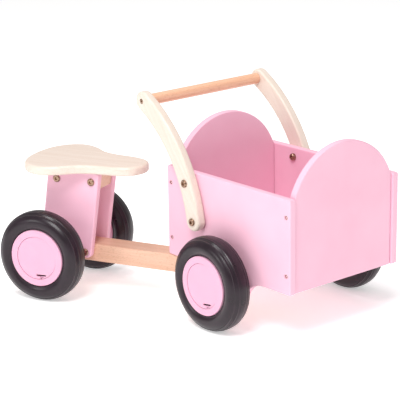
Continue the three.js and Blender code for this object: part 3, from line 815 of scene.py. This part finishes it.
# %% Four tyres
for end, word in WHEELS:
    rubber = turn_on_lathe(tyre_section(), TYRE_STEPS)
    tyre = fit(f"{end}_{word}_tyre", rubber, axle_place(end, word), tyre_rubber)
print(f"each tyre has {len(tyre.data.polygons)} faces and is {2 * TYRE_RADIUS:.0f} mm across")

# %% [markdown]
# ### Hubs and caps
#
# The hub is a ring with a channel for the tyre, a thin web and a long boss on the axle. Separate rings and
# discs would meet in seams that a moulding doesn't have, so its whole section is one closed chain, spun,
# and its corners are rounded the way a mould rounds them. The cap sits just under the ring's face. It has a
# slot right through and a shallow nick outside it, to pry it off by.

# %% Hubs
HUB = {"face": 47.3, "out": 20, "in": -17.5, "flange": 15.8, "channel": 13.2, "hollow": 40}
RECESS, WEB, BOSS = 36, 4, 10
BOSS_IN, BOSS_OUT = -29.9, 8
BARREL = BEAD_RADIUS - 0.3
HUB_STEPS, HUB_RIM, HUB_EDGE = 120, 1.6, 0.4
HUB_SECTION = [
    (AXLE_BORE, BOSS_IN), (BOSS, BOSS_IN), (BOSS, -WEB), (HUB["hollow"], -WEB), (HUB["hollow"], HUB["in"]),
    (HUB["face"], HUB["in"]), (HUB["face"], -HUB["flange"]), (BARREL, -HUB["channel"]),
    (BARREL, HUB["channel"]), (HUB["face"], HUB["flange"]), (HUB["face"], HUB["out"]),
    (RECESS, HUB["out"]), (RECESS, WEB), (BOSS, WEB), (BOSS, BOSS_OUT), (AXLE_BORE, BOSS_OUT),
]

def hub():
    bm = turned(HUB_SECTION, steps=HUB_STEPS, closed=True)
    outermost = {
        v for v in bm.verts
        if abs(v.co.y - HUB["out"]) < HAIR and math.hypot(v.co.x, v.co.z) > RECESS + 1
    }
    rim = [e for e in bm.edges if e.calc_face_angle(0) > SHARP and outermost.issuperset(e.verts)]
    rout(bm, HUB_RIM, edges=rim)
    return rout(bm, HUB_EDGE, segments=2)

for end, word in WHEELS:
    fit(f"{end}_{word}_hub", hub(), axle_place(end, word), pink_plastic)
print("hubs", 2 * HUB["face"], "mm across, with a", 2 * RECESS, "mm recess")

# %% Pushing a patch of faces in or out
def push(bm, faces, by):
    """Moves a patch of faces by a vector and leaves walls behind it."""
    moved = bmesh.ops.extrude_face_region(bm, geom=faces)["geom"]
    bmesh.ops.delete(bm, geom=faces, context="FACES")
    bmesh.ops.translate(bm, verts=vertices_in(moved), vec=by)

def loops_without_faces(bm):
    return [edge for edge in bm.edges if len(edge.link_faces) < 2]

print("ready to sink sockets and slots")

# %% A slot's outline
SLOT = {"length": 18.5, "height": 2.8, "along": -5.7, "below": 29.2}
NICK = {"length": 9, "height": 1.1, "along": -6.5, "below": 32.2, "depth": 0.8}

def rounded_slot(bm, slot):
    """A slot's outline: a small circle whose halves are pulled apart."""
    ends = bmesh.ops.create_circle(bm, segments=16, radius=slot["height"] / 2)["verts"]
    pull = (slot["length"] - slot["height"]) / 2
    for vertex in ends:
        vertex.co.x += math.copysign(pull, round(vertex.co.x, 4) or vertex.co.y)
    bmesh.ops.translate(bm, verts=ends, vec=(slot["along"], -slot["below"], 0))
    return [edge for edge in bm.edges if edge.verts[0] in ends]

print("the slot is", SLOT["length"], "x", SLOT["height"], "mm")

# %% Caps with their pry slots
CAP_RADIUS, CAP_WALL, CAP_SUNK, CAP_EDGE = 35.6, 2.6, 0.9, 0.3
CAP_SIDES = 120
CAP_FACE = HUB["out"] - CAP_SUNK
CAP_BACK = CAP_FACE - CAP_WALL

def hub_cap(skirt_end):
    """The cap's face in x and y with its outer side up, over a skirt that reaches down to skirt_end."""
    bm = bmesh.new()
    bmesh.ops.create_circle(bm, segments=CAP_SIDES, radius=CAP_RADIUS - CAP_WALL)
    bmesh.ops.create_circle(bm, segments=CAP_SIDES, radius=CAP_RADIUS)
    bmesh.ops.bridge_loops(bm, edges=bm.edges[:])
    rounded_slot(bm, SLOT)
    nick = rounded_slot(bm, NICK)
    inside = [e for e in loops_without_faces(bm) if e.verts[0].co.length < CAP_RADIUS - 0.1]
    bmesh.ops.triangle_fill(bm, use_beauty=True, edges=inside)
    nick_floor = bmesh.ops.contextual_create(bm, geom=nick)["faces"]
    bmesh.ops.recalc_face_normals(bm, faces=bm.faces)
    plate = thicken(bm, CAP_FACE, CAP_BACK)
    push(plate, nick_floor, (0, 0, -NICK["depth"]))
    under_the_ring = {
        v for v in plate.verts
        if abs(v.co.z - CAP_BACK) < HAIR and v.co.xy.length > CAP_RADIUS - CAP_WALL - 0.1
    }
    skirt = [face for face in plate.faces if under_the_ring.issuperset(face.verts)]
    push(plate, skirt, (0, 0, skirt_end - CAP_BACK))
    rout(plate, CAP_EDGE, segments=2)
    # Round the nick's tight ends the bevel leaves a few corners on top of each other.
    bmesh.ops.remove_doubles(plate, verts=plate.verts, dist=HAIR)
    return plate

for end, word in WHEELS:
    node = f"{end}_{word}_hub_cap"
    place = axle_place(end, word, CAP_TURNS[end])
    cap = fit(node, hub_cap(span(node, place)[0].y), place @ LENGTHWAYS, pink_plastic)
print(f"each cap has {len(cap.data.polygons)} faces")

# %% [markdown]
# ## Bolts, nuts and screws
#
# The bolts are furniture bolts: a broad low head with a hexagonal socket. A socket could be cut by a
# Boolean, but that leaves long thin triangles in so small a head. Each bolt is turned along its own axis
# with its top left open, the top is filled round a hexagon, and the hexagon is pushed down. Inside the box
# the arms' bolts end in low sleeve nuts with a socket too. Small wood screws hold the box's sides to its
# ends, and one screw from each side holds the grip.

# %% A piece on its own cross axis
def out_place(node, half, word):
    """The frame of a piece that lies across the bike, y outwards on its side, with its two ends in y."""
    low, high = span(node, half)
    middle = Matrix.Translation(((low.x + high.x) / 2, 0, (low.z + high.z) / 2))
    return half @ middle @ OUTWARDS[word], *sorted((abs(low.y), abs(high.y)))

_, *bolt_ends = out_place("arm_bolt_lower_left", BOX, "left")
print("the left arm's lower bolt lies between", [round(y, 1) for y in bolt_ends], "mm from the middle")

# %% Heads and sockets
# How far out a low round head reaches, as a share of its radius, and how far below its top, of its height.
HEAD_CURVE = ((1, 1), (1, 0.52), (0.97, 0.32), (0.9, 0.14), (0.8, 0.03), (0.72, 0))

def head(radius, height, top):
    """The upper half section of a low round head, from its underside to a small circle in its top."""
    return [(share * radius, top - down * height) for share, down in HEAD_CURVE]

def round_socket(across, margin=0.15):
    """The radius of a circle just outside a hexagon of that width across its flats."""
    return across / math.sqrt(3) + margin

def sink_socket(bm, face, across, depth):
    """Closes a turned piece's open end at y = face, with a hexagonal socket in it."""
    upright = Matrix.Translation((0, face, 0)) @ Matrix.Rotation(math.pi / 2, 4, "X")
    hexagon = bmesh.ops.create_circle(bm, segments=6, radius=across / math.sqrt(3), matrix=upright)
    corners = hexagon["verts"]
    bmesh.ops.triangle_fill(bm, use_beauty=True, edges=loops_without_faces(bm))
    sides = [e for e in bm.edges if e.verts[0] in corners and e.verts[1] in corners]
    push(bm, bmesh.ops.contextual_create(bm, geom=sides)["faces"], (0, -depth, 0))
    return bm

print("a head of 12 mm:", [(round(r, 2), round(y, 2)) for r, y in head(6.2, 2.8, 0)])

# %% Furniture bolts
BOLT = {"head": 6.2, "height": 2.8, "shank": 3, "chamfer": 0.5, "socket": 5, "depth": 2}
BOLTS = {
    "seat_bolt_rear": CHASSIS, "seat_bolt_front": CHASSIS, "beam_bolt": CHASSIS,
    "arm_bolt_lower": BOX, "arm_bolt_upper": BOX,
}

def socket_bolt(inner, outer):
    shank, chamfer = BOLT["shank"], BOLT["chamfer"]
    section = [
        (0, inner), (shank - chamfer, inner), (shank, inner + chamfer), (shank, outer - BOLT["height"]),
        *head(BOLT["head"], BOLT["height"], outer), (round_socket(BOLT["socket"]), outer),
    ]
    return sink_socket(turned(section), outer, BOLT["socket"], BOLT["depth"])

for word in OUTWARDS:
    for name, half in BOLTS.items():
        place, inner, outer = out_place(f"{name}_{word}", half, word)
        fit(f"{name}_{word}", socket_bolt(inner, outer), place, bronze_bolt)
print(2 * len(BOLTS), "bolts")

# %% Sleeve nuts inside the box
NUT = {"radius": 6, "lip": 0.6, "bore": 3.15, "bore_depth": 2.2, "socket": 4, "depth": 1.8}

def sleeve_nut(inner, outer):
    dome = head(NUT["radius"], outer - inner - NUT["lip"], outer)
    deep = outer - NUT["bore_depth"]
    section = [
        (0, deep), (NUT["bore"], deep), (NUT["bore"], outer), (NUT["radius"], outer),
        *((radius, inner + outer - along) for radius, along in dome), (round_socket(NUT["socket"]), inner),
    ]
    return sink_socket(turned(section), inner, NUT["socket"], -NUT["depth"])

for word in OUTWARDS:
    for level in ("lower", "upper"):
        place, inner, outer = out_place(f"arm_nut_{level}_{word}", BOX, word)
        fit(f"arm_nut_{level}_{word}", sleeve_nut(inner, outer), place, bronze_bolt)
print("nuts stand", round(outer - inner, 1), "mm into the box")

# %% The grip's screws and the box's wood screws
BOX_SCREW = {"head": 3.1, "height": 1.8, "shank": 1.9}
GRIP_SCREW = {"head": 4, "height": 1.6, "shank": 2}
SCREW_SUNK, SCREW_LENGTH, SCREW_STEPS = 0.7, 28, 36
SCREW_SOCKET = {"across": 2.6, "depth": 1.2, "margin": 0.1}

def wood_screw(inner, outer, size):
    point = [(0, inner), (0.6, inner + 1), (size["shank"], inner + 6)]
    rim = (round_socket(SCREW_SOCKET["across"], SCREW_SOCKET["margin"]), outer)
    section = [
        *point, (size["shank"], outer - size["height"]), *head(size["head"], size["height"], outer)[:-1], rim
    ]
    screw = turned(section, steps=SCREW_STEPS)
    return sink_socket(screw, outer, SCREW_SOCKET["across"], SCREW_SOCKET["depth"])

for word, outwards in OUTWARDS.items():
    place, inner, outer = out_place(f"bar_screw_{word}", BOX, word)
    fit(f"bar_screw_{word}", wood_screw(inner, outer, GRIP_SCREW), place, bronze_bolt)
    outer = side_high.y - SCREW_SUNK
    for number, (x, z) in enumerate(BOX_SCREWS, 1):
        screw = wood_screw(outer - SCREW_LENGTH, outer, BOX_SCREW)
        place = BOX @ Matrix.Translation((x, 0, z)) @ outwards
        new_piece(f"box_screw_{word}_{number}", screw, place, bronze_bolt, "cargo_box")
print(2 * len(BOX_SCREWS), "wood screws hold the box's sides")

# %% [markdown]
# ## Axles, washers and the pivot
#
# The rear axle goes right through the beam. At the front each wheel has its own stub in a beech block under
# the box's floor. Spacers hold the rear hubs off the boards, and push nuts under the caps hold the wheels
# on. The pivot bolt drops through the box's floor and the beam, with a broad washer above and below. Little
# of this shows. Plain cylinders would be enough for that, but turned sections give every end its chamfer,
# and it is the chamfers that catch the light when one is seen.

# %% Round bars and rings
CHAMFER = 0.5

def bar(low, high, radius):
    """A round bar with its ends just chamfered."""
    return turned([
        (0, low), (radius - CHAMFER, low), (radius, low + CHAMFER),
        (radius, high - CHAMFER), (radius - CHAMFER, high), (0, high),
    ])

def ring(low, high, bore, radius, edge):
    section = [(bore, low), (radius, low), (radius, high), (bore, high)]
    return rout(turned(section, steps=64, closed=True), edge, segments=2)

low, high = span("rear_axle", CHASSIS)
AXLE_RADIUS = (high.z - low.z) / 2
middle = Matrix.Translation(((low.x + high.x) / 2, 0, (low.z + high.z) / 2))
fit("rear_axle", bar(low.y, high.y, AXLE_RADIUS), CHASSIS @ middle, zinc)
print("the axles are", round(2 * AXLE_RADIUS, 1), "mm thick")

# %% Stub axles, their blocks, and the rings on all the axles
RINGS = {"spacer": (0.8, pink_plastic), "washer": (0.3, zinc), "push_nut": (0.5, zinc)}
AXLE_BLOCK_EDGE = 2

for word in OUTWARDS:
    place, inner, outer = out_place(f"front_axle_{word}", BOX, word)
    fit(f"front_axle_{word}", bar(inner, outer, AXLE_RADIUS), place, zinc)
    for end, half in HALVES.items():
        for name, (edge, finish) in RINGS.items():
            node = f"{end}_{name}_{word}"
            if node in frame["nodes"]:  # the front wheels have no spacers
                place, inner, outer = out_place(node, half, word)
                low, high = span(node, half)
                fit(node, ring(inner, outer, AXLE_BORE, (high.z - low.z) / 2, edge), place, finish)
    low, high = span(f"axle_block_{word}", BOX)
    block = thicken(sawn_square(low, high), low.z, high.z)
    fit(f"axle_block_{word}", rout(block, AXLE_BLOCK_EDGE), BOX, beech_beam)
print(f"the blocks are {high.x - low.x:.0f} x {high.y - low.y:.0f} mm")

# %% The pivot bolt, its washers and its nut
UPRIGHT = Matrix.Rotation(math.pi / 2, 4, "X")  # turns the y axis up
low, high = span("pivot_bolt", BOX)
PIVOT_RADIUS, PIVOT_HEAD, PIVOT_DOME = 4, (high.x - low.x) / 2, 3.6
shank = [
    (0, low.z), (PIVOT_RADIUS - CHAMFER, low.z), (PIVOT_RADIUS, low.z + CHAMFER),
    (PIVOT_RADIUS, high.z - PIVOT_DOME),
]
dome = [
    (PIVOT_HEAD * math.cos(math.radians(a)), high.z - PIVOT_DOME * (1 - math.sin(math.radians(a))))
    for a in range(0, 85, 12)
]
fit("pivot_bolt", turned([*shank, *dome, (0, high.z)]), BOX @ UPRIGHT, zinc)

for node in ("pivot_washer_upper", "pivot_washer_lower"):
    low, high = span(node, CHASSIS)
    fit(node, ring(low.z, high.z, PIVOT_BORE, high.x, RINGS["washer"][0]), CHASSIS @ UPRIGHT, zinc)

nut = frame["nodes"]["pivot_nut"]
nut.data.materials.clear()
nut.data.materials.append(zinc)
print("the pivot's head is", round(2 * PIVOT_HEAD), "mm across")

# %% [markdown]
# ## Floor and light
#
# A white sheet, far wider than the view and lit a little from behind, under a soft even sky. The sky and the
# sheet's own glow fill the shadows. A sky alone would leave the bike flat, so three softboxes draw the
# highlights: a large one high in front, a smaller one overhead and a faint one on the camera's left.

# %% A backlit white sheet for a floor
FLOOR_REACH = 12  # metres from the bike to each edge
floor_mesh = bpy.data.meshes.new("floor")
floor_shape = bmesh.new()
bmesh.ops.create_grid(floor_shape, x_segments=1, y_segments=1, size=FLOOR_REACH)
floor_shape.to_mesh(floor_mesh)
floor_shape.free()
floor = in_scene("floor", floor_mesh)
paper, paper_shader, paper_place = blank(
    "backlit_white_sheet", Roughness=0.9, Specular_IOR_Level=0.1,
    Emission_Color=linear("FFFFFF"), Emission_Strength=0.42,
)
fibres = add(paper, "TexNoise", {"Vector": paper_place, "Scale": every(400), "Detail": 1.0})
white = add(
    paper, "Mix",
    {SHARE: fibres.outputs[0], COLOUR_A: linear("FAFAFA"), COLOUR_B: linear("FCFCFC")},
    data_type="RGBA",
)
paper.node_tree.links.new(white.outputs[MIXED], paper_shader.inputs["Base Color"])
floor_mesh.materials.append(paper)
print("a floor", 2 * FLOOR_REACH, "m wide")

# %% Sky and softboxes
SKY_COLOUR, SKY_STRENGTH = "FFFDFC", 0.5
LIT_POINT = CHASSIS @ Vector((-200, 0, 120))
scene.world = bpy.data.worlds.new("soft_sky")
scene.world.use_nodes = True
sky = scene.world.node_tree.nodes["Background"]
sky.inputs["Color"].default_value = linear(SKY_COLOUR)
sky.inputs["Strength"].default_value = SKY_STRENGTH

def softbox(name, position, size, power):
    """A square area light that looks at the bike's middle. Position and size in metres, power in watts."""
    light = bpy.data.lights.new(name, "AREA")
    light.energy, light.size = power, size
    lamp = in_scene(name, light)
    lamp.location = position
    lamp.rotation_euler = (LIT_POINT - lamp.location).to_track_quat("-Z", "Y").to_euler()
    return lamp

key = softbox("key_softbox", (0.25, -1.7, 2.3), 1.0, 43)
overhead = softbox("overhead_softbox", (-0.4, 0.1, 2.4), 0.6, 13)
camera_left = softbox("camera_left_softbox", (-1.5, -2.0, 1.0), 0.7, 8)
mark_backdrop(floor, key, overhead, camera_left)
scene.view_settings.view_transform = "Standard"
print("floor, sky and three softboxes")

# %% [markdown]
# ## The size of the finished bike
#
# The finished bike has to fill the same box as the working model, so both sizes are printed side by side.
# They could be compared by eye in the viewport, and the printed numbers can be compared after each change.

# %% Sizes
finished_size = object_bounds()
sizes = {
    label: [[float(value) for value in corner] for corner in box]
    for label, box in (("working", working_size), ("finished", finished_size))
}
for label, box in sizes.items():
    print(label, [[round(value, 4) for value in corner] for corner in box])
